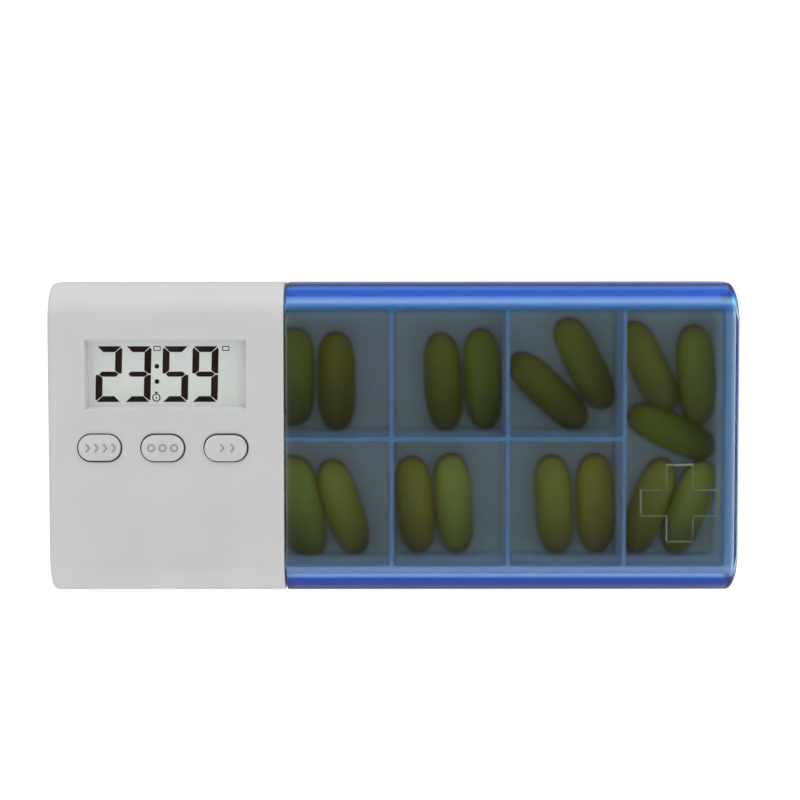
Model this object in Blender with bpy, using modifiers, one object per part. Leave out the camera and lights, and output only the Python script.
"""Electronic pill box: a white timer unit that carries a seven cell tray, under a blue slide-off sleeve.

Lengths are in metres, +Z is up and X runs along the box. The box lies on its back with its display up,
the timer at -X and the sleeve at +X. The origin is the middle of its footprint.
"""

import math

import bmesh
import bpy
from mathutils import Matrix, Vector

# Whole box
BOX_LENGTH = 0.1350
BOX_WIDTH = 0.0610
BOX_HEIGHT = 0.0240
CORNER_RADIUS = 0.0080  # rounding of the four long edges
HOUSING_END_ROUNDING = 0.0010  # rounding round the timer's end face
SLEEVE_END_ROUNDING = 0.0014  # rounding round the sleeve's end face
SEAM_ROUNDING = 0.0003  # rounding of the two edges that meet at the seam
FIT_GAP = 0.0003  # gap that neighbouring pieces keep
OVERRUN = 0.0020  # how far a cutter reaches past what it cuts
ROOTING = 0.0005  # how far a rib or a boss reaches into the wall that it grows from
SAME_PLACE = 0.000003  # places closer than this count as one
MERGE_DISTANCE = 0.00001
PARALLEL_SHARE = 0.999  # share of an edge's length along an axis that makes it parallel to it
SHARP_ANGLE = math.radians(35)
CORNER_SEGMENTS = 10
END_SEGMENTS = 4
ROUND_STEPS = 20
SMALL_ROUND_STEPS = 16
CELL_ROUND_STEPS = 24

# Timer housing
HOUSING_WALL = 0.0018
FACE_TO_PARTING = 0.0086  # from the face down to the joint between front and back shell
TONGUE_THICKNESS = 0.0006
TONGUE_DEPTH = 0.0010
TONGUE_END_GAP = 0.0010  # how far the tongue stops short of the seam
BULKHEAD_THICKNESS = 0.0014
MOUTH_RIB_SETBACK = 0.0002  # how far the mouth ribs lie behind the seam

# Blue sleeve
SLEEVE_WALL = 0.0018
SLEEVE_END_WALL = 0.0009
CROSS_FROM_END = 0.0115
CROSS_FROM_SIDE = 0.0181
CROSS_SPAN = 0.0151
CROSS_ARM = 0.0051
CROSS_RELIEF = 0.0003
CROSS_EDGE = 0.00015

# Compartment tray
TRAY_WALL = 0.0013
TRAY_SIDE_SPACE = 0.0023  # from the sleeve's inner side to the tray's side wall
TRAY_TUCK = 0.0012  # how far the first cells run under the housing's edge
DIVIDER_THICKNESS = 0.00075
FIRST_DIVIDER_SHARE = 0.243056  # from the seam to the first cross divider, as a share of the tray's run
PITCH_SHARE = 0.264468  # from one cross divider to the next, as a share of the tray's run
CROSS_DIVIDERS = 3
CELL_CORNER = 0.0006
CELL_FLOOR_ROUNDING = 0.0005
CELL_CORNER_SEGMENTS = 3
CELL_DRAFT = math.radians(1.0)

# Battery cells: their length and radius follow from the box, and are those of size AAA
CELL_NIPPLE_RADIUS = 0.0019
CELL_NIPPLE_HEIGHT = 0.0009
CELL_SHOULDER = 0.0005
CELL_SIDE_GAP = 0.0003
CELL_DOOR_GAP = 0.0001  # how much more than a fit gap a cell lies above the door
SPRING_HEIGHT = 0.0018
SPRING_WIRE_RADIUS = 0.00025
SPRING_WIDE_SHARE = 0.724  # radius of a spring's widest turn, as a share of the cell's
SPRING_NARROW_SHARE = 0.343
SPRING_TURNS = 2.5
SPRING_POINTS_PER_TURN = 10
CONTACT_THICKNESS = 0.0004
CONTACT_MARGIN = 0.00095  # how much narrower than its cell a contact plate is, on each side
TAB_WIDTH = 0.0022
TAB_HEIGHT = 0.0004  # how far a contact's tab stands out of the bay's ceiling

# Battery bay and its door
BAY_WALL = 0.0012
BAY_CLEARANCE = 0.0004
BAY_RIB_THICKNESS = 0.0008
BAY_RIB_SHARE = 0.486  # height of the rib's foot over the cells' middles, as a share of their radius
BAY_SIDE_ROOM = 0.0032  # from the bay's end wall to the housing's inner side
BAY_TO_BOARD = 0.00145
DOOR_THICKNESS = 0.00175
DOOR_MARGIN = 0.00055  # how far the door reaches past half a cell
DOOR_TONGUE_THICKNESS = 0.0007
DOOR_TONGUE_WIDTH = 0.0010
DOOR_TONGUE_SETBACK = 0.0015  # from the door's outer end to its tongues
DOOR_TAB_WIDTH = 0.0150
DOOR_TAB_LENGTH = 0.0010
TAB_HOOD_WALL = 0.0008
GRIP_GROOVES = 5
GRIP_PITCH = 0.0016
GRIP_GROOVE_WIDTH = 0.0007
GRIP_GROOVE_LENGTH = 0.0140
GRIP_GROOVE_DEPTH = 0.0004
GRIP_FROM_END = 0.0040

# Display
DISPLAY_FROM_SIDE = 0.0177  # from the housing's side to the display's middle
DISPLAY_END_BORDER = 0.0078  # from the display's opening to the housing's end and to the seam
DISPLAY_LENGTH = 0.0305
DISPLAY_WIDTH = 0.0128
DISPLAY_BEVEL = 0.0005  # how much wider the opening is at the face, on each side
DISPLAY_BEVEL_DEPTH = 0.0010
WINDOW_THICKNESS = 0.0010
WINDOW_BORDER = 0.0012
LCD_PANE_THICKNESS = 0.0008
LCD_BORDER = 0.0011
LCD_LEDGE = 0.0020  # how far the front pane reaches past the rear one, for its contacts
LCD_WINDOW_GAP = 0.0003
HOLDER_WALL = 0.0010
HOLDER_SHELF = 0.0018
ZEBRA_WIDTH = 0.0015
ZEBRA_SETBACK = 0.00075  # how far the strip stops short of the display's opening, at each end

# Circuit board
FACE_TO_BOARD = 0.0084  # from the face down to the board's underside
BOARD_THICKNESS = 0.0012
BOARD_BELOW_BUTTONS = 0.0090  # from the buttons' middles to the board's low edge
BOARD_SIDE_GAP = 0.0019  # from the board to the housing's inner side
BOARD_CORNER = 0.0010
BOARD_END_GAP = 0.0015  # from the board to the housing's inner end
BOARD_SEAM_GAP = 0.0053  # from the board to the seam
CHIP_RADIUS = 0.0045
CHIP_HEIGHT = 0.0011
CHIP_OFFSET = 0.0008  # how far the chip lies below the display's middle
CHIP_STEPS = 6
CRYSTAL_RADIUS = 0.0010
CRYSTAL_LENGTH = 0.0060
CRYSTAL_FROM_EDGE = 0.0030
CRYSTAL_OFFSET = 0.0068

# Screws and their bosses
BOARD_BOSS_RADIUS = 0.0020
BOARD_SCREW_RADIUS = 0.0008
BOARD_SCREW_HEAD_RADIUS = 0.0015
BOARD_SCREW_HEAD_HEIGHT = 0.0008
BOARD_SCREW_LENGTH = 0.0050
BOARD_SCREW_INSET = 0.0026  # from a board corner to its screw, both ways
SCREW_SIDE_GAP = 0.00015
CASE_SCREW_FROM_SIDE = 0.0063
CASE_SCREW_FROM_BULKHEAD = 0.0044
CASE_SCREW_RADIUS = 0.0011
CASE_SCREW_HEAD_RADIUS = 0.0021
CASE_SCREW_HEAD_HEIGHT = 0.0016
CASE_SCREW_TO_FACE = 0.0040  # from the screw's tip to the face, less one fit gap
CASE_WELL_RADIUS = 0.0025
CASE_WELL_DEPTH = 0.0050
CASE_BACK_BOSS_RADIUS = 0.0036
CASE_FRONT_BOSS_RADIUS = 0.0024
CASE_BOSS_DROP = 0.0016  # how far below the shells' joint the front and back bosses meet
SCREW_POINT = 0.0008
SCREW_TIP_SHARE = 0.33  # radius of a screw's tip, as a share of its shank's
SCREW_HEAD_TOP_SHARE = 0.7  # radius of a screw head's flat, as a share of the head's

# Buttons and their switches
BUTTON_COUNT = 3
BUTTON_SHIFT = 0.0006  # how far the row of buttons lies from the housing's middle
DISPLAY_TO_BUTTONS = 0.0143
BUTTON_PITCH_SHARE = 0.267896  # of the housing's length
BUTTON_LENGTH = 0.0083
BUTTON_WIDTH = 0.0051
BUTTON_RISE = 0.0005
BUTTON_TRAVEL = 0.0004
BUTTON_LIP = 0.0006
BUTTON_LIP_THICKNESS = 0.0009
BUTTON_EDGE = 0.0003
BUTTON_STEM_RADIUS = 0.0014
STADIUM_END_SHARE = 0.98  # end radius of a stadium, as a share of half its width
STADIUM_SEGMENTS = 6
SWITCH_SIDE = 0.0045
SWITCH_HEIGHT = 0.0023
SWITCH_CORNER = 0.0004
PLUNGER_RADIUS = 0.0012
PLUNGER_RISE = 0.0007
PLUNGER_FIT = 0.00015

# Buzzer
BUZZER_MARGIN = 0.0021  # from the buzzer's rim to the walls on both sides of its room
BUZZER_BRASS_THICKNESS = 0.0002
BUZZER_CERAMIC_SHARE = 0.7  # radius of the ceramic, as a share of the brass disc's
BUZZER_CERAMIC_THICKNESS = 0.0002
BUZZER_RING_WALL = 0.0008
BUZZER_RING_HEIGHT = 0.0028
BUZZER_LEDGE_WIDTH = 0.0009
BUZZER_LEDGE_HEIGHT = 0.0012
SOUND_SLOTS = 5
SOUND_SLOT_WIDTH_SHARE = 0.53  # of the slots' pitch
SOUND_SLOT_PITCH_SHARE = 0.3016  # of the buzzer's radius
SOUND_FIELD_RADIUS_SHARE = 0.667
SOUND_FIELD_SHARE = 1.2  # how much taller than wide the field of slots is

# Leads
LEAD_RADIUS = 0.00045
LEAD_POINTS = 11
LEAD_BOARD_INSET = 0.0006  # how far inside the board's edge a battery lead ends
LEAD_SWAY = 0.0018  # how far a battery lead swings to either side
BUZZER_LEAD_SPREAD_SHARE = 0.571  # distance between the leads, as a share of the buzzer's radius
BUZZER_LEAD_OFFSET_SHARE = 0.3175  # how far they lie from the buzzer's middle, as the same share
BUZZER_LEAD_SHIFT = 0.0025  # how far the leads run sideways on their way up to the board
BUZZER_LEAD_RUN = 0.0040

# Places that follow from the sizes above
HOUSING_LENGTH = DISPLAY_LENGTH + 2 * DISPLAY_END_BORDER
TIMER_END = -BOX_LENGTH / 2
SLEEVE_END = BOX_LENGTH / 2
SEAM = TIMER_END + HOUSING_LENGTH
PARTING_HEIGHT = BOX_HEIGHT - FACE_TO_PARTING
TIMER_MIDDLE = TIMER_END + HOUSING_LENGTH / 2
CAVITY_END = TIMER_END + HOUSING_WALL
CAVITY_HALF = BOX_WIDTH / 2 - HOUSING_WALL
FRONT_INNER = BOX_HEIGHT - HOUSING_WALL
FRONT_EDGE = PARTING_HEIGHT + FIT_GAP / 2
BACK_EDGE = PARTING_HEIGHT - FIT_GAP / 2
TRAY_INSET = max(HOUSING_WALL, SLEEVE_WALL) + FIT_GAP
TRAY_CELLS_START = SEAM - TRAY_TUCK
TRAY_START = TRAY_CELLS_START - TRAY_WALL
TRAY_END = SLEEVE_END - SLEEVE_END_WALL - FIT_GAP
TRAY_HALF = BOX_WIDTH / 2 - SLEEVE_WALL - TRAY_SIDE_SPACE
TRAY_FLOOR = TRAY_INSET + TRAY_WALL
TRAY_RUN = TRAY_END - TRAY_WALL - SEAM
FIRST_DIVIDER = FIRST_DIVIDER_SHARE * TRAY_RUN
CELL_PITCH = PITCH_SHARE * TRAY_RUN
CROSS_X = SLEEVE_END - CROSS_FROM_END
CROSS_Y = CROSS_FROM_SIDE - BOX_WIDTH / 2
BULKHEAD_HIGH = TRAY_START - FIT_GAP
BULKHEAD_LOW = BULKHEAD_HIGH - BULKHEAD_THICKNESS
BOARD_HEIGHT = BOX_HEIGHT - FACE_TO_BOARD
BOARD_TOP = BOARD_HEIGHT + BOARD_THICKNESS
BAY_CEILING = BOARD_HEIGHT - BAY_TO_BOARD - BAY_WALL
CELL_UNDERSIDE = DOOR_THICKNESS + FIT_GAP + CELL_DOOR_GAP
CELL_RADIUS = (BAY_CEILING - FIT_GAP - CELL_UNDERSIDE) / 2
CELL_HEIGHT = CELL_UNDERSIDE + CELL_RADIUS
CONTACT_HALF = CELL_RADIUS - CONTACT_MARGIN
BAY_HALF = CAVITY_HALF - BAY_SIDE_ROOM - BAY_WALL
CELL_LENGTH = 2 * (BAY_HALF - CONTACT_THICKNESS) - 5 * FIT_GAP - SPRING_HEIGHT
DOOR_HALF = CELL_LENGTH / 2 + DOOR_MARGIN
BAY_LOW = CAVITY_END
CELL_CENTRES = (
    BAY_LOW + BAY_CLEARANCE + CELL_RADIUS,
    BAY_LOW + BAY_CLEARANCE + 3 * CELL_RADIUS + CELL_SIDE_GAP,
)
BAY_HIGH = CELL_CENTRES[1] + CELL_RADIUS + BAY_CLEARANCE
CONTACT_FACE = BAY_HALF - FIT_GAP - CONTACT_THICKNESS
DOOR_INNER_END = BAY_HIGH + BAY_WALL / 2 - FIT_GAP
DISPLAY_Y = BOX_WIDTH / 2 - DISPLAY_FROM_SIDE
BUTTON_Y = DISPLAY_Y - DISPLAY_TO_BUTTONS
BUTTON_PITCH = BUTTON_PITCH_SHARE * HOUSING_LENGTH
BOARD_LOW_X = CAVITY_END + BOARD_END_GAP
BOARD_HIGH_X = SEAM - BOARD_SEAM_GAP
BOARD_LOW_Y = BUTTON_Y - BOARD_BELOW_BUTTONS
BOARD_HIGH_Y = CAVITY_HALF - BOARD_SIDE_GAP
CASE_SCREW_X = BULKHEAD_LOW - CASE_SCREW_FROM_BULKHEAD
CASE_SCREW_Y = BOX_WIDTH / 2 - CASE_SCREW_FROM_SIDE
CASE_SCREW_LENGTH = BOX_HEIGHT - CASE_WELL_DEPTH - CASE_SCREW_TO_FACE
CASE_BOSS_MEETING = PARTING_HEIGHT - CASE_BOSS_DROP
WINDOW_TOP = FRONT_INNER - FIT_GAP
LCD_TOP = WINDOW_TOP - WINDOW_THICKNESS - LCD_WINDOW_GAP
SERVICE_MIDDLE = (BAY_HIGH + BAY_WALL + BULKHEAD_LOW) / 2
BUZZER_RADIUS = BULKHEAD_LOW - SERVICE_MIDDLE - BUZZER_MARGIN
SOUND_SLOT_PITCH = SOUND_SLOT_PITCH_SHARE * BUZZER_RADIUS
SOUND_FIELD_RADIUS = SOUND_FIELD_RADIUS_SHARE * BUZZER_RADIUS
SPAN_Y = BOX_WIDTH / 2 + OVERRUN
SPAN_TOP = BOX_HEIGHT + OVERRUN


def clear_scene():
    """Removes whatever the file opened with."""
    for thing in list(bpy.data.objects):
        bpy.data.objects.remove(thing, do_unlink=True)


def new_collection(name):
    """Makes a collection in the scene."""
    collection = bpy.data.collections.new(name)
    bpy.context.scene.collection.children.link(collection)
    return collection


clear_scene()
PARTS = new_collection("electronic_pill_box")
TOOLS = new_collection("cutters")


def material(name, colour, roughness, metallic=0.0, alpha=1.0):
    """Makes a Principled material from a linear colour."""
    made = bpy.data.materials.new(name)
    made.use_nodes = True
    shader = made.node_tree.nodes["Principled BSDF"]
    shader.inputs["Base Color"].default_value = (*colour, 1.0)
    shader.inputs["Roughness"].default_value = roughness
    shader.inputs["Metallic"].default_value = metallic
    shader.inputs["Alpha"].default_value = alpha
    made.diffuse_color = (*colour, alpha)
    return made


def new_object(name, mesh, collection=None):
    """Turns a bmesh into an object of the cutters' collection, or of the one named."""
    data = bpy.data.meshes.new(name)
    bmesh.ops.recalc_face_normals(mesh, faces=mesh.faces)
    mesh.to_mesh(data)
    mesh.free()
    made = bpy.data.objects.new(name, data)
    (collection or TOOLS).objects.link(made)
    return made


def box_bmesh(low, high):
    """A closed box between two corners."""
    mesh = bmesh.new()
    bmesh.ops.create_cube(mesh, size=1.0)
    size = [top - bottom for bottom, top in zip(low, high)]
    middle = [(top + bottom) / 2 for bottom, top in zip(low, high)]
    bmesh.ops.scale(mesh, vec=size, verts=mesh.verts)
    bmesh.ops.translate(mesh, vec=middle, verts=mesh.verts)
    return mesh


def runs_along(edge, axis):
    """True if an edge is parallel to the axis of that number."""
    start, end = (vert.co for vert in edge.verts)
    step = end - start
    return abs(step[axis]) > PARALLEL_SHARE * step.length


def lies_at(edge, axis, place):
    """True if both ends of an edge lie at that place on the axis of that number."""
    return all(abs(vert.co[axis] - place) < SAME_PLACE for vert in edge.verts)


def round_edges(mesh, edges, radius, segments):
    """Rounds a list of edges."""
    bmesh.ops.bevel(
        mesh, geom=edges, offset=radius, offset_type="OFFSET", segments=segments, profile=0.5, affect="EDGES"
    )


def box(name, low, high, corner=0.0, segments=3):
    """A closed box, with its four upright edges rounded where a corner radius is given."""
    mesh = box_bmesh(low, high)
    if corner:
        round_edges(mesh, [edge for edge in mesh.edges if runs_along(edge, 2)], corner, segments)
    return new_object(name, mesh)


def section_bar(name, x_low, x_high, inset, low_rounding=0.0, high_rounding=0.0):
    """A bar along X with the box's rounded section, drawn in by inset all round.

    Either end face can have its own edge rounded.
    """
    half = BOX_WIDTH / 2 - inset
    mesh = box_bmesh((x_low, -half, inset), (x_high, half, BOX_HEIGHT - inset))
    long_edges = [edge for edge in mesh.edges if runs_along(edge, 0)]
    round_edges(mesh, long_edges, CORNER_RADIUS - inset, CORNER_SEGMENTS)
    for place, rounding in ((x_low, low_rounding), (x_high, high_rounding)):
        if rounding:
            rim = [edge for edge in mesh.edges if lies_at(edge, 0, place)]
            round_edges(mesh, rim, rounding, END_SEGMENTS)
    return new_object(name, mesh)


def post(name, x, y, z_low, z_high, radius, top_radius=None, steps=ROUND_STEPS):
    """An upright round post or, as a cutter, an upright round hole."""
    mesh = bmesh.new()
    bmesh.ops.create_cone(
        mesh,
        cap_ends=True,
        segments=steps,
        radius1=radius,
        radius2=radius if top_radius is None else top_radius,
        depth=z_high - z_low,
    )
    bmesh.ops.translate(mesh, vec=(x, y, (z_low + z_high) / 2), verts=mesh.verts)
    return new_object(name, mesh)


def stadium(name, x, y, length, width, z_low, z_high, edge=0.0):
    """An upright prism with round ends, its upper edge rounded where an edge radius is given."""
    mesh = box_bmesh((x - length / 2, y - width / 2, z_low), (x + length / 2, y + width / 2, z_high))
    upright = [side for side in mesh.edges if runs_along(side, 2)]
    round_edges(mesh, upright, STADIUM_END_SHARE * width / 2, STADIUM_SEGMENTS)
    if edge:
        round_edges(mesh, [side for side in mesh.edges if lies_at(side, 2, z_high)], edge, 2)
    return new_object(name, mesh)


def turned(name, profile, steps=ROUND_STEPS):
    """Turns a profile of (radius, height) points round Z, listed from the top of the axis down."""
    data = bpy.data.meshes.new(name)
    points = [(radius, 0.0, height) for radius, height in profile]
    data.from_pydata(points, [(n, n + 1) for n in range(len(points) - 1)], [])
    made = bpy.data.objects.new(name, data)
    TOOLS.objects.link(made)
    screw = made.modifiers.new("turn", "SCREW")
    screw.steps = steps
    screw.render_steps = steps
    screw.use_merge_vertices = True
    screw.merge_threshold = MERGE_DISTANCE
    return made


def place(thing, x=0.0, y=0.0, z=0.0, turn=None):
    """Moves an object and turns it round X."""
    thing.location = (x, y, z)
    if turn is not None:
        thing.rotation_euler = (turn, 0.0, 0.0)
    return thing


def tube(name, points, radius, sides=1):
    """A wire along a list of points."""
    curve = bpy.data.curves.new(name, "CURVE")
    curve.dimensions = "3D"
    curve.bevel_depth = radius
    curve.bevel_resolution = sides
    curve.use_fill_caps = True
    spline = curve.splines.new("POLY")
    spline.points.add(len(points) - 1)
    for point, spot in zip(spline.points, points):
        point.co = (*spot, 1.0)
    made = bpy.data.objects.new(name, curve)
    TOOLS.objects.link(made)
    return made


def origin_at(made, x, y, z):
    """Puts a moving piece's origin on its joint's axis, and leaves the piece where it is."""
    spot = Vector((x, y, z))
    made.data.transform(Matrix.Translation(made.location - spot))
    made.location = spot
    return made


def combine(target, tool, operation):
    """Adds a Boolean modifier, and puts the tool away as a wire guide."""
    modifier = target.modifiers.new(tool.name, "BOOLEAN")
    modifier.operation = operation
    modifier.object = tool
    tool.hide_render = True
    tool.display_type = "WIRE"
    return target


def cut(target, *tools):
    """Takes the tools out of the target."""
    for tool in tools:
        combine(target, tool, "DIFFERENCE")
    return target


def join(target, *tools):
    """Grows the tools on the target."""
    for tool in tools:
        combine(target, tool, "UNION")
    return target


def part(made, name, finish):
    """Names a finished piece, gives it its material and moves it to the parts' collection."""
    made.name = name
    made.data.name = name
    made.data.materials.clear()
    made.data.materials.append(finish)
    TOOLS.objects.unlink(made)
    PARTS.objects.link(made)
    return made


WHITE = material("white_abs", (0.60, 0.60, 0.61), 0.45)
BUTTON_WHITE = material("white_button", (0.62, 0.62, 0.62), 0.40)
BLUE_CLEAR = material("clear_blue_styrene", (0.03, 0.12, 0.62), 0.12, alpha=0.45)
TRAY_NATURAL = material("natural_polypropylene", (0.75, 0.78, 0.80), 0.35, alpha=0.60)
CLEAR = material("clear_acrylic", (0.90, 0.92, 0.92), 0.05, alpha=0.25)
LCD_GREY = material("lcd_glass", (0.53, 0.58, 0.56), 0.15)
BLACK_PLASTIC = material("black_plastic", (0.03, 0.03, 0.03), 0.50)
RUBBER = material("conductive_rubber", (0.06, 0.06, 0.06), 0.80)
BOARD_GREEN = material("green_laminate", (0.02, 0.16, 0.06), 0.40)
EPOXY = material("black_epoxy", (0.01, 0.01, 0.01), 0.30)
STEEL = material("zinc_plated_steel", (0.56, 0.57, 0.58), 0.30, 1.0)
NICKEL = material("nickel_plated_steel", (0.62, 0.60, 0.56), 0.25, 1.0)
BRASS = material("brass", (0.66, 0.49, 0.20), 0.30, 1.0)
CELL_LABEL = material("cell_label", (0.10, 0.11, 0.12), 0.35)
LEAD_RED = material("red_lead", (0.55, 0.03, 0.02), 0.50)
LEAD_BLACK = material("black_lead", (0.02, 0.02, 0.02), 0.50)


def sleeve_cover():
    """The blue sleeve: closed at the far end, open at the seam, with a raised plain cross on its face."""
    outside = section_bar(
        "sleeve_outside", SEAM + FIT_GAP, SLEEVE_END, 0.0, SEAM_ROUNDING, SLEEVE_END_ROUNDING
    )
    inside = section_bar("sleeve_inside", SEAM - OVERRUN, SLEEVE_END - SLEEVE_END_WALL, SLEEVE_WALL)
    sleeve = join(cut(outside, inside), cross_relief())
    origin_at(sleeve, SEAM, 0.0, BOX_HEIGHT / 2)
    return part(sleeve, "sleeve_cover", BLUE_CLEAR)


def cross_relief():
    """A plain cross of two equal arms: one quarter of its outline, turned four times."""
    reach = CROSS_SPAN / 2
    arm = CROSS_ARM / 2
    outline = []
    for quarter in range(4):
        angle = quarter * math.pi / 2
        for along, across in ((reach, -arm), (reach, arm), (arm, arm)):
            x = along * math.cos(angle) - across * math.sin(angle)
            y = along * math.sin(angle) + across * math.cos(angle)
            outline.append((CROSS_X + x, CROSS_Y + y))
    mesh = bmesh.new()
    foot = mesh.faces.new([mesh.verts.new((x, y, BOX_HEIGHT - ROOTING)) for x, y in outline])
    raised = bmesh.ops.extrude_face_region(mesh, geom=[foot])
    top = [item for item in raised["geom"] if isinstance(item, bmesh.types.BMVert)]
    bmesh.ops.translate(mesh, vec=(0.0, 0.0, ROOTING + CROSS_RELIEF), verts=top)
    bmesh.ops.recalc_face_normals(mesh, faces=mesh.faces)
    rim = [edge for edge in mesh.edges if lies_at(edge, 2, BOX_HEIGHT + CROSS_RELIEF)]
    round_edges(mesh, rim, CROSS_EDGE, 1)
    return new_object("cross_relief", mesh)


def cell_cutter(name, x_low, x_high, y_low, y_high):
    """The space of one compartment: it narrows towards its floor, with rounded corners and floor edge."""
    mouth = BOX_HEIGHT - SLEEVE_WALL
    taper = (mouth - TRAY_FLOOR) * math.tan(CELL_DRAFT)
    mesh = box_bmesh((x_low, y_low, TRAY_FLOOR), (x_high, y_high, mouth))
    for vert in mesh.verts:
        if vert.co.z < BOX_HEIGHT / 2:
            vert.co.x += taper if vert.co.x < (x_low + x_high) / 2 else -taper
            vert.co.y += taper if vert.co.y < (y_low + y_high) / 2 else -taper
    round_edges(mesh, [edge for edge in mesh.edges if runs_along(edge, 2)], CELL_CORNER, CELL_CORNER_SEGMENTS)
    floor_edges = [edge for edge in mesh.edges if lies_at(edge, 2, TRAY_FLOOR)]
    round_edges(mesh, floor_edges, CELL_FLOOR_ROUNDING, CELL_CORNER_SEGMENTS)
    return new_object(name, mesh)


def compartments():
    """The plan of the seven cells: three columns of two, then one as wide as the tray."""
    inner_half = TRAY_HALF - TRAY_WALL
    web = DIVIDER_THICKNESS / 2
    middles = [SEAM + FIRST_DIVIDER + n * CELL_PITCH for n in range(CROSS_DIVIDERS)]
    starts = [TRAY_CELLS_START] + [x + web for x in middles]
    ends = [x - web for x in middles] + [TRAY_END - TRAY_WALL]
    cells = []
    for column in range(CROSS_DIVIDERS):
        cells.append((starts[column], ends[column], web, inner_half))
        cells.append((starts[column], ends[column], -inner_half, -web))
    cells.append((starts[-1], ends[-1], -inner_half, inner_half))
    return cells


def compartment_tray():
    """The tray: a tub with dividers, whose end wall is wider and sits in the housing's mouth as a flange."""
    tray = section_bar("tray_block", TRAY_START, TRAY_END, TRAY_INSET)
    for side in (-1, 1):
        near, far = sorted((side * TRAY_HALF, side * SPAN_Y))
        cut(tray, box("tray_side", (TRAY_CELLS_START, near, -OVERRUN), (TRAY_END + OVERRUN, far, SPAN_TOP)))
    for number, (x_low, x_high, y_low, y_high) in enumerate(compartments(), 1):
        cut(tray, cell_cutter(f"cell_space_{number}", x_low, x_high, y_low, y_high))
    return part(tray, "compartment_tray", TRAY_NATURAL)


def housing_shell(name):
    """The whole hollow housing, before it is split into its two shells."""
    shell = section_bar(name, TIMER_END, SEAM, 0.0, HOUSING_END_ROUNDING, SEAM_ROUNDING)
    return cut(shell, section_bar(name + "_cavity", CAVITY_END, SEAM + OVERRUN, HOUSING_WALL))


def bulkhead(name, z_low, z_high):
    """The inner wall behind the tray, with the stated heights."""
    reach = CAVITY_HALF + ROOTING
    return box(name, (BULKHEAD_LOW, -reach, z_low), (BULKHEAD_HIGH, reach, z_high))


def section_trimmed(thing):
    """Trims an inner wall to the housing's section, half way into the wall of the housing."""
    guide = section_bar(thing.name + "_trim", TIMER_END + ROOTING, SEAM + OVERRUN, HOUSING_WALL / 2)
    return combine(thing, guide, "INTERSECT")


def mouth_ribs(name, z_low, z_high):
    """Two upright ribs in front of the tray's flange, which keep it in the housing."""
    low = TRAY_CELLS_START + FIT_GAP
    high = SEAM - MOUTH_RIB_SETBACK
    inner = TRAY_HALF + FIT_GAP
    outer = CAVITY_HALF + ROOTING
    return (
        box(name + "_left", (low, inner, z_low), (high, outer, z_high)),
        box(name + "_right", (low, -outer, z_low), (high, -inner, z_high)),
    )


def board_screw_spots():
    """The four places where the board is screwed to the front shell: three corners, and above the display."""
    low_x = BOARD_LOW_X + BOARD_SCREW_INSET
    low_y = BOARD_LOW_Y + BOARD_SCREW_INSET
    high_y = BOARD_HIGH_Y - BOARD_SCREW_INSET
    return [
        (low_x, low_y),
        (low_x, high_y),
        (BOARD_HIGH_X - BOARD_SCREW_INSET, low_y),
        (TIMER_MIDDLE, high_y),
    ]


def button_centres():
    """The middles of the three buttons along X."""
    first = TIMER_MIDDLE - BUTTON_SHIFT - BUTTON_PITCH * (BUTTON_COUNT - 1) / 2
    return [first + n * BUTTON_PITCH for n in range(BUTTON_COUNT)]


def display_cutter():
    """The display's opening: straight below, flared to the face."""
    throat_x = DISPLAY_LENGTH / 2
    throat_y = DISPLAY_WIDTH / 2
    flare_floor = BOX_HEIGHT - DISPLAY_BEVEL_DEPTH
    flare = DISPLAY_BEVEL * (DISPLAY_BEVEL_DEPTH + OVERRUN) / DISPLAY_BEVEL_DEPTH
    mesh = box_bmesh(
        (TIMER_MIDDLE - throat_x, DISPLAY_Y - throat_y, flare_floor),
        (TIMER_MIDDLE + throat_x, DISPLAY_Y + throat_y, SPAN_TOP),
    )
    for vert in mesh.verts:
        if vert.co.z > BOX_HEIGHT:
            vert.co.x += flare if vert.co.x > TIMER_MIDDLE else -flare
            vert.co.y += flare if vert.co.y > DISPLAY_Y else -flare
    throat = box(
        "display_throat",
        (TIMER_MIDDLE - throat_x, DISPLAY_Y - throat_y, FRONT_INNER - OVERRUN),
        (TIMER_MIDDLE + throat_x, DISPLAY_Y + throat_y, flare_floor + ROOTING),
    )
    return throat, new_object("display_flare", mesh)


def housing_tongue():
    """The thin tongue round the front shell's edge that slips inside the back shell."""
    outer = CAVITY_HALF + TONGUE_THICKNESS
    low_x = CAVITY_END - TONGUE_THICKNESS
    high_x = SEAM - TONGUE_END_GAP
    bottom = BACK_EDGE - TONGUE_DEPTH
    ring = box("tongue", (low_x, -outer, bottom), (high_x, outer, FRONT_EDGE + ROOTING))
    hole = box(
        "tongue_inside",
        (CAVITY_END, -CAVITY_HALF, bottom - OVERRUN),
        (high_x + OVERRUN, CAVITY_HALF, FRONT_EDGE + OVERRUN),
    )
    return cut(ring, hole)


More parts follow.
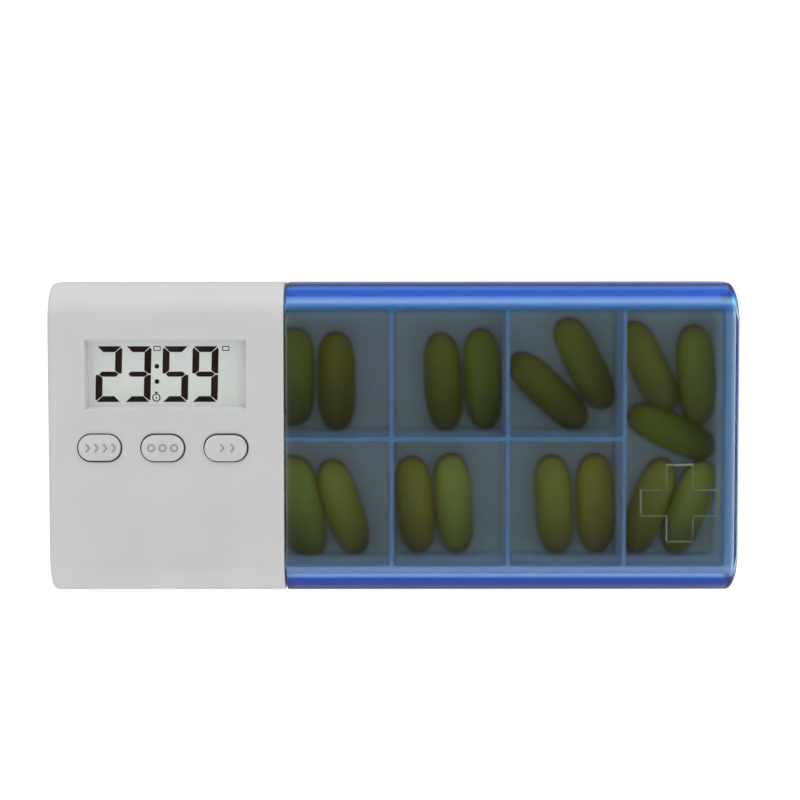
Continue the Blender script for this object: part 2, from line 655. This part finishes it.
def front_shell():
    """The front shell: display opening, three button openings, bosses and the upper half of the bulkhead."""
    shell = housing_shell("front_shell_block")
    low_corner = (TIMER_END - OVERRUN, -SPAN_Y, -OVERRUN)
    cut(shell, box("front_split", low_corner, (SEAM + OVERRUN, SPAN_Y, FRONT_EDGE)))
    join(shell, housing_tongue())
    join(shell, section_trimmed(bulkhead("front_bulkhead", FRONT_EDGE, FRONT_INNER + ROOTING)))
    for rib in mouth_ribs("front_rib", FRONT_EDGE, FRONT_INNER - CORNER_RADIUS / 2):
        join(shell, section_trimmed(rib))
    boss_foot = BOARD_TOP + FIT_GAP
    for number, (x, y) in enumerate(board_screw_spots(), 1):
        boss = post(f"board_boss_{number}", x, y, boss_foot, SPAN_TOP, BOARD_BOSS_RADIUS)
        join(shell, section_trimmed(boss))
        hole_top = boss_foot + BOARD_SCREW_LENGTH
        hole = post(
            f"board_pilot_{number}", x, y, boss_foot - OVERRUN, hole_top, BOARD_SCREW_RADIUS + SCREW_SIDE_GAP
        )
        cut(shell, hole)
    for side in (-1, 1):
        y = side * CASE_SCREW_Y
        boss_foot = CASE_BOSS_MEETING + FIT_GAP / 2
        boss = post("case_front_boss", CASE_SCREW_X, y, boss_foot, SPAN_TOP, CASE_FRONT_BOSS_RADIUS)
        join(shell, section_trimmed(boss))
        pilot_top = CASE_WELL_DEPTH + CASE_SCREW_LENGTH + FIT_GAP
        pilot_radius = CASE_SCREW_RADIUS + SCREW_SIDE_GAP
        cut(shell, post("case_pilot", CASE_SCREW_X, y, boss_foot - OVERRUN, pilot_top, pilot_radius))
    cut(shell, *display_cutter())
    for number, x in enumerate(button_centres(), 1):
        hole = stadium(
            f"button_hole_{number}",
            x,
            BUTTON_Y,
            BUTTON_LENGTH + 2 * FIT_GAP,
            BUTTON_WIDTH + 2 * FIT_GAP,
            FRONT_INNER - OVERRUN / 2,
            SPAN_TOP,
        )
        cut(shell, hole)
    return part(shell, "front_shell", WHITE)


def battery_bay():
    """The closed box over the cells, and the space inside it that opens to the door."""
    ceiling = BAY_CEILING + BAY_WALL
    outside = box(
        "bay",
        (BAY_LOW - ROOTING, -BAY_HALF - BAY_WALL, HOUSING_WALL - ROOTING),
        (BAY_HIGH + BAY_WALL, BAY_HALF + BAY_WALL, ceiling),
    )
    floor = DOOR_THICKNESS + FIT_GAP / 2
    inside = box("bay_space", (BAY_LOW, -BAY_HALF, floor), (BAY_HIGH, BAY_HALF, BAY_CEILING))
    return outside, inside


def tab_hood():
    """The low hood on the floor that the door's inner tab slips under."""
    reach = DOOR_TAB_WIDTH / 2 + FIT_GAP + TAB_HOOD_WALL
    end = DOOR_INNER_END + DOOR_TAB_LENGTH + FIT_GAP + TAB_HOOD_WALL
    top = DOOR_THICKNESS + FIT_GAP + TAB_HOOD_WALL
    return box("tab_hood", (BAY_HIGH + BAY_WALL / 2, -reach, HOUSING_WALL - ROOTING), (end, reach, top))


def door_space():
    """The cuts in the back shell that the battery door slides in."""
    half = DOOR_HALF + FIT_GAP
    top = DOOR_THICKNESS + FIT_GAP
    groove_half = half + DOOR_TONGUE_WIDTH
    groove_floor = DOOR_THICKNESS - DOOR_TONGUE_THICKNESS - FIT_GAP
    outer_end = TIMER_END - OVERRUN
    tab_half = DOOR_TAB_WIDTH / 2 + FIT_GAP
    tab_end = DOOR_INNER_END + DOOR_TAB_LENGTH + FIT_GAP
    return (
        box("door_opening", (outer_end, -half, -OVERRUN), (DOOR_INNER_END + FIT_GAP, half, top)),
        box("door_groove", (outer_end, -groove_half, groove_floor), (DOOR_INNER_END, groove_half, top)),
        box("door_tab_pocket", (DOOR_INNER_END - ROOTING, -tab_half, groove_floor), (tab_end, tab_half, top)),
    )


def tab_slots():
    """The slots in the bay's ceiling for the solder tabs of the two outer contacts."""
    half = TAB_WIDTH / 2 + FIT_GAP
    low = BAY_CEILING - ROOTING
    high = BAY_CEILING + BAY_WALL + OVERRUN
    return [
        box("tab_slot", (x - half, FIT_GAP / 2 - BAY_HALF, low), (x + half, FIT_GAP - CONTACT_FACE, high))
        for x in CELL_CENTRES
    ]


def buzzer_seat():
    """The ring that holds the buzzer, its ledge, and the sound slots in the floor under it."""
    x = SERVICE_MIDDLE
    foot = HOUSING_WALL - ROOTING
    inner = BUZZER_RADIUS + FIT_GAP
    ring_top = HOUSING_WALL + BUZZER_RING_HEIGHT
    ledge_top = HOUSING_WALL + BUZZER_LEDGE_HEIGHT
    ring = post("buzzer_ring", x, 0.0, foot, ring_top, inner + BUZZER_RING_WALL)
    cut(ring, post("buzzer_room", x, 0.0, ledge_top, ring_top + OVERRUN, inner))
    cut(ring, post("buzzer_port", x, 0.0, foot - OVERRUN, ring_top, inner - BUZZER_LEDGE_WIDTH))
    slots = []
    slot_width = SOUND_SLOT_WIDTH_SHARE * SOUND_SLOT_PITCH
    for number in range(SOUND_SLOTS):
        offset = (number - (SOUND_SLOTS - 1) / 2) * SOUND_SLOT_PITCH
        length = 2 * math.sqrt(SOUND_FIELD_RADIUS**2 - (offset / SOUND_FIELD_SHARE) ** 2)
        slot = stadium(
            f"sound_slot_{number + 1}", x, offset, length, slot_width, -OVERRUN, ledge_top
        )
        slots.append(slot)
    return ring, slots


def back_shell():
    """The deep back shell: battery bay, door rails, screw wells, buzzer seat and lower bulkhead."""
    shell = housing_shell("back_shell_block")
    low_corner = (TIMER_END - OVERRUN, -SPAN_Y, BACK_EDGE)
    cut(shell, box("back_split", low_corner, (SEAM + OVERRUN, SPAN_Y, SPAN_TOP)))
    rebate = TONGUE_THICKNESS + FIT_GAP
    rebate_floor = BACK_EDGE - TONGUE_DEPTH - FIT_GAP
    cut(
        shell,
        box(
            "tongue_rebate",
            (CAVITY_END - rebate, -CAVITY_HALF - rebate, rebate_floor),
            (SEAM - TONGUE_END_GAP + FIT_GAP, CAVITY_HALF + rebate, SPAN_TOP),
        ),
    )
    bay, bay_space = battery_bay()
    join(shell, bay, tab_hood())
    cut(shell, bay_space, *door_space(), *tab_slots())
    rib_foot = CELL_HEIGHT + BAY_RIB_SHARE * CELL_RADIUS
    rib_middle = sum(CELL_CENTRES) / 2
    rib_half = BAY_RIB_THICKNESS / 2
    rib = box(
        "cell_rib",
        (rib_middle - rib_half, -CELL_LENGTH / 4, rib_foot),
        (rib_middle + rib_half, CELL_LENGTH / 4, BAY_CEILING + ROOTING),
    )
    join(shell, rib)
    inner_top = rebate_floor - FIT_GAP
    join(shell, section_trimmed(bulkhead("back_bulkhead", HOUSING_WALL - ROOTING, inner_top)))
    inner_reach = CAVITY_HALF - FIT_GAP
    upper = box(
        "back_bulkhead_top",
        (BULKHEAD_LOW, -inner_reach, inner_top - ROOTING),
        (BULKHEAD_HIGH, inner_reach, BACK_EDGE),
    )
    join(shell, upper)
    for rib in mouth_ribs("back_rib", CORNER_RADIUS / 2, inner_top):
        join(shell, section_trimmed(rib))
    for side in (-1, 1):
        y = side * CASE_SCREW_Y
        boss_top = CASE_BOSS_MEETING - FIT_GAP / 2
        boss = post("case_back_boss", CASE_SCREW_X, y, -OVERRUN, boss_top, CASE_BACK_BOSS_RADIUS)
        join(shell, section_trimmed(boss))
        cut(shell, post("case_well", CASE_SCREW_X, y, -OVERRUN, CASE_WELL_DEPTH, CASE_WELL_RADIUS))
        bore = CASE_SCREW_RADIUS + 2 * SCREW_SIDE_GAP
        cut(shell, post("case_bore", CASE_SCREW_X, y, CASE_WELL_DEPTH - ROOTING, SPAN_TOP, bore))
    ring, slots = buzzer_seat()
    join(shell, ring)
    cut(shell, *slots)
    return part(shell, "back_shell", WHITE)


def battery_door():
    """The battery door: a slice of the housing's back with side tongues, an inner tab and finger grooves."""
    door = section_bar("door_block", TIMER_END, SEAM, 0.0, HOUSING_END_ROUNDING)
    blank = box(
        "door_blank",
        (TIMER_END - OVERRUN, -DOOR_HALF, -OVERRUN),
        (DOOR_INNER_END, DOOR_HALF, DOOR_THICKNESS),
    )
    combine(door, blank, "INTERSECT")
    tongue_floor = DOOR_THICKNESS - DOOR_TONGUE_THICKNESS
    tongue_half = DOOR_HALF + DOOR_TONGUE_WIDTH
    tongues = box(
        "door_tongues",
        (TIMER_END + DOOR_TONGUE_SETBACK, -tongue_half, tongue_floor),
        (DOOR_INNER_END - DOOR_TONGUE_SETBACK, tongue_half, DOOR_THICKNESS),
    )
    tab = box(
        "door_tab",
        (DOOR_INNER_END - ROOTING, -DOOR_TAB_WIDTH / 2, tongue_floor),
        (DOOR_INNER_END + DOOR_TAB_LENGTH, DOOR_TAB_WIDTH / 2, DOOR_THICKNESS),
    )
    join(door, tongues, tab)
    for number in range(GRIP_GROOVES):
        x = TIMER_END + GRIP_FROM_END + number * GRIP_PITCH
        groove = box(
            f"grip_groove_{number + 1}",
            (x, -GRIP_GROOVE_LENGTH / 2, -OVERRUN),
            (x + GRIP_GROOVE_WIDTH, GRIP_GROOVE_LENGTH / 2, GRIP_GROOVE_DEPTH),
        )
        cut(door, groove)
    origin_at(door, TIMER_END, 0.0, DOOR_THICKNESS / 2)
    return part(door, "battery_door", WHITE)


def display_window():
    """The clear window behind the display's opening."""
    half_x = DISPLAY_LENGTH / 2 + WINDOW_BORDER
    half_y = DISPLAY_WIDTH / 2 + WINDOW_BORDER
    window = box(
        "window",
        (TIMER_MIDDLE - half_x, DISPLAY_Y - half_y, WINDOW_TOP - WINDOW_THICKNESS),
        (TIMER_MIDDLE + half_x, DISPLAY_Y + half_y, WINDOW_TOP),
        corner=WINDOW_BORDER / 2,
    )
    return part(window, "display_window", CLEAR)


def lcd_outline():
    """Half length of the liquid crystal cell, and the low and high Y of its rear pane."""
    half_x = DISPLAY_LENGTH / 2 + LCD_BORDER
    half_y = DISPLAY_WIDTH / 2 + LCD_BORDER
    return half_x, DISPLAY_Y - half_y, DISPLAY_Y + half_y


def lcd_glass():
    """The liquid crystal cell: two bonded panes, the front one longer for its contacts."""
    half_x, low_y, high_y = lcd_outline()
    middle = LCD_TOP - LCD_PANE_THICKNESS
    front = box(
        "lcd_front",
        (TIMER_MIDDLE - half_x, low_y - LCD_LEDGE, middle),
        (TIMER_MIDDLE + half_x, high_y, LCD_TOP),
    )
    rear = box(
        "lcd_rear",
        (TIMER_MIDDLE - half_x + FIT_GAP, low_y, middle - LCD_PANE_THICKNESS),
        (TIMER_MIDDLE + half_x - FIT_GAP, high_y - FIT_GAP, middle + LCD_PANE_THICKNESS / 2),
    )
    return part(join(front, rear), "lcd_glass", LCD_GREY)


def lcd_holder():
    """The frame on the board that the liquid crystal cell sits in."""
    half_x, low_y, high_y = lcd_outline()
    low_y -= LCD_LEDGE
    bottom = BOARD_TOP + FIT_GAP
    shelf_top = LCD_TOP - 2 * LCD_PANE_THICKNESS - FIT_GAP
    gap = FIT_GAP
    wall = FIT_GAP + HOLDER_WALL
    frame = box(
        "holder",
        (TIMER_MIDDLE - half_x - wall, low_y - wall, bottom),
        (TIMER_MIDDLE + half_x + wall, high_y + wall, LCD_TOP),
        corner=HOLDER_WALL / 2,
    )
    pocket = box(
        "holder_pocket",
        (TIMER_MIDDLE - half_x - gap, low_y - gap, shelf_top),
        (TIMER_MIDDLE + half_x + gap, high_y + gap, LCD_TOP + OVERRUN),
    )
    through = box(
        "holder_through",
        (TIMER_MIDDLE - half_x + HOLDER_SHELF, low_y - gap / 2, bottom - OVERRUN),
        (TIMER_MIDDLE + half_x - HOLDER_SHELF, high_y - HOLDER_WALL, shelf_top + ROOTING),
    )
    return part(cut(frame, pocket, through), "lcd_holder", BLACK_PLASTIC)


def zebra_strip():
    """The conductive rubber strip between the cell's ledge and the board."""
    low_y = lcd_outline()[1]
    middle_y = low_y - LCD_LEDGE / 2
    half_x = DISPLAY_LENGTH / 2 - ZEBRA_SETBACK
    strip = box(
        "zebra",
        (TIMER_MIDDLE - half_x, middle_y - ZEBRA_WIDTH / 2, BOARD_TOP + FIT_GAP),
        (TIMER_MIDDLE + half_x, middle_y + ZEBRA_WIDTH / 2, LCD_TOP - LCD_PANE_THICKNESS - FIT_GAP),
    )
    return part(strip, "zebra_strip", RUBBER)


def circuit_board():
    """The board, with its four screw holes and the hole that the case boss passes through."""
    board = box(
        "board",
        (BOARD_LOW_X, BOARD_LOW_Y, BOARD_HEIGHT),
        (BOARD_HIGH_X, BOARD_HIGH_Y, BOARD_TOP),
        corner=BOARD_CORNER,
    )
    low = BOARD_HEIGHT - OVERRUN
    high = BOARD_TOP + OVERRUN
    for x, y in board_screw_spots():
        cut(board, post("board_hole", x, y, low, high, BOARD_SCREW_RADIUS + 2 * SCREW_SIDE_GAP))
    cut(board, post("boss_hole", CASE_SCREW_X, CASE_SCREW_Y, low, high, CASE_FRONT_BOSS_RADIUS + FIT_GAP))
    return part(board, "circuit_board", BOARD_GREEN)


def chip_blob():
    """The drop of epoxy over the timer's chip, under the board: a shallow dome."""
    top = BOARD_HEIGHT - FIT_GAP
    profile = [(0.0, top)]
    for n in range(CHIP_STEPS + 1):
        angle = n / CHIP_STEPS * math.pi / 2
        profile.append((CHIP_RADIUS * math.cos(angle), top - CHIP_HEIGHT * math.sin(angle)))
    profile[-1] = (0.0, top - CHIP_HEIGHT)
    blob = place(turned("chip", profile), SERVICE_MIDDLE, DISPLAY_Y - CHIP_OFFSET)
    return part(blob, "chip_blob", EPOXY)


def clock_crystal():
    """The clock crystal in its can, lying under the board."""
    height = BOARD_HEIGHT - FIT_GAP - CRYSTAL_RADIUS
    profile = [(0.0, CRYSTAL_LENGTH), (CRYSTAL_RADIUS, CRYSTAL_LENGTH), (CRYSTAL_RADIUS, 0.0), (0.0, 0.0)]
    can = turned("crystal", profile, steps=SMALL_ROUND_STEPS)
    place(can, BOARD_HIGH_X - CRYSTAL_FROM_EDGE, DISPLAY_Y - CRYSTAL_OFFSET, height, turn=math.pi / 2)
    return part(can, "clock_crystal", STEEL)


def screw(name, x, y, seat, length, radius, head_radius, head_height):
    """A screw that points up: pan head below the seat, pointed shank above it."""
    profile = [
        (0.0, seat + length),
        (SCREW_TIP_SHARE * radius, seat + length),
        (radius, seat + length - SCREW_POINT),
        (radius, seat),
        (head_radius, seat),
        (head_radius, seat - head_height / 2),
        (SCREW_HEAD_TOP_SHARE * head_radius, seat - head_height),
        (0.0, seat - head_height),
    ]
    return part(place(turned(name + "_turned", profile, steps=SMALL_ROUND_STEPS), x, y), name, STEEL)


def screws():
    """Four board screws and two case screws."""
    for number, (x, y) in enumerate(board_screw_spots(), 1):
        screw(
            f"board_screw_{number}",
            x,
            y,
            BOARD_HEIGHT - FIT_GAP,
            BOARD_SCREW_LENGTH,
            BOARD_SCREW_RADIUS,
            BOARD_SCREW_HEAD_RADIUS,
            BOARD_SCREW_HEAD_HEIGHT,
        )
    for number, side in enumerate((-1, 1), 1):
        screw(
            f"case_screw_{number}",
            CASE_SCREW_X,
            side * CASE_SCREW_Y,
            CASE_WELL_DEPTH - FIT_GAP,
            CASE_SCREW_LENGTH,
            CASE_SCREW_RADIUS,
            CASE_SCREW_HEAD_RADIUS,
            CASE_SCREW_HEAD_HEIGHT,
        )


def buttons():
    """Three push buttons, each with its switch on the board and the plunger that it presses."""
    lip_top = FRONT_INNER - FIT_GAP
    lip_bottom = lip_top - BUTTON_LIP_THICKNESS
    switch_bottom = BOARD_TOP + FIT_GAP
    switch_top = switch_bottom + SWITCH_HEIGHT
    plunger_top = switch_top + PLUNGER_RISE
    bore_floor = switch_top - SWITCH_HEIGHT / 2
    names = ("hour_button", "mode_button", "minute_button")
    for number, (name, x) in enumerate(zip(names, button_centres()), 1):
        cap = stadium(
            name + "_cap",
            x,
            BUTTON_Y,
            BUTTON_LENGTH,
            BUTTON_WIDTH,
            lip_bottom + BUTTON_LIP_THICKNESS / 2,
            BOX_HEIGHT + BUTTON_RISE,
            edge=BUTTON_EDGE,
        )
        lip = stadium(
            name + "_lip",
            x,
            BUTTON_Y,
            BUTTON_LENGTH + 2 * BUTTON_LIP,
            BUTTON_WIDTH + 2 * BUTTON_LIP,
            lip_bottom,
            lip_top,
        )
        stem = post(
            name + "_stem",
            x,
            BUTTON_Y,
            plunger_top + FIT_GAP,
            lip_top,
            BUTTON_STEM_RADIUS,
            steps=SMALL_ROUND_STEPS,
        )
        origin_at(join(cap, lip, stem), x, BUTTON_Y, lip_top)
        part(cap, name, BUTTON_WHITE)
        body = box(
            f"switch_block_{number}",
            (x - SWITCH_SIDE / 2, BUTTON_Y - SWITCH_SIDE / 2, switch_bottom),
            (x + SWITCH_SIDE / 2, BUTTON_Y + SWITCH_SIDE / 2, switch_top),
            corner=SWITCH_CORNER,
        )
        bore = post(
            "switch_bore",
            x,
            BUTTON_Y,
            bore_floor,
            switch_top + OVERRUN,
            PLUNGER_RADIUS + PLUNGER_FIT,
            steps=SMALL_ROUND_STEPS,
        )
        part(cut(body, bore), f"switch_{number}", BLACK_PLASTIC)
        foot = bore_floor + BUTTON_TRAVEL + FIT_GAP
        plunger = post("plunger", x, BUTTON_Y, foot, plunger_top, PLUNGER_RADIUS, steps=SMALL_ROUND_STEPS)
        origin_at(plunger, x, BUTTON_Y, foot)
        part(plunger, f"plunger_{number}", RUBBER)


def piezo_buzzer():
    """The buzzer: a brass disc with its smaller ceramic disc bonded on top."""
    seat = HOUSING_WALL + BUZZER_LEDGE_HEIGHT + FIT_GAP
    brass_top = seat + BUZZER_BRASS_THICKNESS
    ceramic_radius = BUZZER_CERAMIC_SHARE * BUZZER_RADIUS
    profile = [
        (0.0, brass_top + BUZZER_CERAMIC_THICKNESS),
        (ceramic_radius, brass_top + BUZZER_CERAMIC_THICKNESS),
        (ceramic_radius, brass_top),
        (BUZZER_RADIUS, brass_top),
        (BUZZER_RADIUS, seat),
        (0.0, seat),
    ]
    return part(place(turned("buzzer", profile), SERVICE_MIDDLE), "piezo_buzzer", BRASS)


def cell_ends(number):
    """Direction of a cell's positive end along Y, and the Y of its flat end."""
    towards = -1 if number == 1 else 1
    tip = towards * (CONTACT_FACE - FIT_GAP)
    return towards, tip - towards * CELL_LENGTH


def battery_cells():
    """Two AAA cells, side by side and head to tail, each turned from its own profile."""
    shoulder = CELL_LENGTH - CELL_NIPPLE_HEIGHT
    profile = [
        (0.0, CELL_LENGTH),
        (CELL_NIPPLE_RADIUS, CELL_LENGTH),
        (CELL_NIPPLE_RADIUS, shoulder),
        (CELL_RADIUS - CELL_SHOULDER, shoulder),
        (CELL_RADIUS, shoulder - CELL_SHOULDER),
        (CELL_RADIUS, CELL_SHOULDER),
        (CELL_RADIUS - CELL_SHOULDER, 0.0),
        (0.0, 0.0),
    ]
    for number, x in enumerate(CELL_CENTRES, 1):
        towards, foot = cell_ends(number)
        cell = turned(f"cell_{number}_turned", profile, steps=CELL_ROUND_STEPS)
        place(cell, x, foot, CELL_HEIGHT, turn=-towards * math.pi / 2)
        part(cell, f"cell_{number}", CELL_LABEL)


def contact_plate(name, x_low, x_high, side, tab_x=None):
    """A thin contact plate at one end of the bay, with a solder tab through the ceiling if asked for."""
    inner, outer = sorted((side * CONTACT_FACE, side * (CONTACT_FACE + CONTACT_THICKNESS)))
    low = CELL_HEIGHT - CONTACT_HALF
    plate = box(name + "_plate", (x_low, inner, low), (x_high, outer, CELL_HEIGHT + CONTACT_HALF))
    if tab_x is not None:
        tab = box(
            name + "_tab",
            (tab_x - TAB_WIDTH / 2, inner, CELL_HEIGHT),
            (tab_x + TAB_WIDTH / 2, outer, BAY_CEILING + BAY_WALL + TAB_HEIGHT),
        )
        join(plate, tab)
    return part(plate, name, NICKEL)


def coil_spring(name, x, y_wide, y_narrow):
    """A conical coil spring along Y, wide at its contact plate and narrow at the cell."""
    count = int(SPRING_TURNS * SPRING_POINTS_PER_TURN)
    points = []
    for n in range(count + 1):
        share = n / count
        angle = share * SPRING_TURNS * 2 * math.pi
        radius = CELL_RADIUS * (SPRING_WIDE_SHARE + share * (SPRING_NARROW_SHARE - SPRING_WIDE_SHARE))
        y = y_wide + share * (y_narrow - y_wide)
        points.append((x + radius * math.cos(angle), y, CELL_HEIGHT + radius * math.sin(angle)))
    return part(tube(name + "_wire", points, SPRING_WIRE_RADIUS), name, NICKEL)


def battery_contacts():
    """The bridge at one end of the bay, the two outer contacts at the other, and their springs."""
    half = CONTACT_HALF
    first, second = CELL_CENTRES
    contact_plate("bridge_contact", first - half, second + half, 1)
    contact_plate("positive_contact", first - half, first + half, -1, tab_x=first)
    contact_plate("negative_contact", second - half, second + half, -1, tab_x=second)
    inset = FIT_GAP + SPRING_WIRE_RADIUS
    for name, number in (("bridge_spring", 1), ("negative_spring", 2)):
        towards, foot = cell_ends(number)
        wide = -towards * (CONTACT_FACE - inset)
        narrow = foot - towards * inset
        coil_spring(name, CELL_CENTRES[number - 1], wide, narrow)


def smooth_run(start, start_pull, end_pull, end):
    """Points along one cubic curve between two ends, drawn towards two handles."""
    points = []
    for n in range(LEAD_POINTS):
        t = n / (LEAD_POINTS - 1)
        weights = ((1 - t) ** 3, 3 * t * (1 - t) ** 2, 3 * t**2 * (1 - t), t**3)
        corners = (start, start_pull, end_pull, end)
        points.append(tuple(sum(w * c[axis] for w, c in zip(weights, corners)) for axis in range(3)))
    return points


def leads():
    """Two battery leads over the bay, and two buzzer leads up to the board."""
    lead_height = BOARD_HEIGHT - FIT_GAP - LEAD_RADIUS
    start_y = -CONTACT_FACE + FIT_GAP + LEAD_RADIUS
    end_y = BOARD_LOW_Y + LEAD_BOARD_INSET
    for name, x, finish in (
        ("positive_lead", CELL_CENTRES[0], LEAD_RED),
        ("negative_lead", CELL_CENTRES[1], LEAD_BLACK),
    ):
        third = (end_y - start_y) / 3
        run = smooth_run(
            (x, start_y, lead_height),
            (x + LEAD_SWAY, start_y + third, lead_height),
            (x - LEAD_SWAY, end_y - third, lead_height),
            (x, end_y, lead_height),
        )
        part(tube(name + "_wire", run, LEAD_RADIUS), name, finish)
    disc_thickness = BUZZER_BRASS_THICKNESS + BUZZER_CERAMIC_THICKNESS
    disc_top = HOUSING_WALL + BUZZER_LEDGE_HEIGHT + disc_thickness + 2 * FIT_GAP
    top = BOARD_HEIGHT - FIT_GAP
    lead_y = -BUZZER_LEAD_OFFSET_SHARE * BUZZER_RADIUS
    for number, (side, finish) in enumerate(((-1, LEAD_RED), (1, LEAD_BLACK)), 1):
        x = SERVICE_MIDDLE + side * BUZZER_LEAD_SPREAD_SHARE * BUZZER_RADIUS / 2
        run = smooth_run(
            (x, lead_y, disc_top),
            (x, lead_y, disc_top + BUZZER_LEAD_RUN),
            (x, lead_y - BUZZER_LEAD_SHIFT, top - BUZZER_LEAD_RUN),
            (x, lead_y - BUZZER_LEAD_SHIFT, top),
        )
        part(tube(f"buzzer_lead_{number}_wire", run, LEAD_RADIUS), f"buzzer_lead_{number}", finish)


def smooth_round_faces():
    """Shades the round pieces smooth, with their real edges kept sharp."""
    for thing in PARTS.objects:
        if thing.type == "MESH":
            thing.data.shade_smooth()
            thing.data.set_sharp_from_angle(angle=SHARP_ANGLE)


def build():
    """Makes every piece of the pill box."""
    sleeve_cover()
    compartment_tray()
    front_shell()
    back_shell()
    battery_door()
    display_window()
    lcd_glass()
    lcd_holder()
    zebra_strip()
    circuit_board()
    chip_blob()
    clock_crystal()
    screws()
    buttons()
    piezo_buzzer()
    battery_cells()
    battery_contacts()
    leads()
    smooth_round_faces()


build()
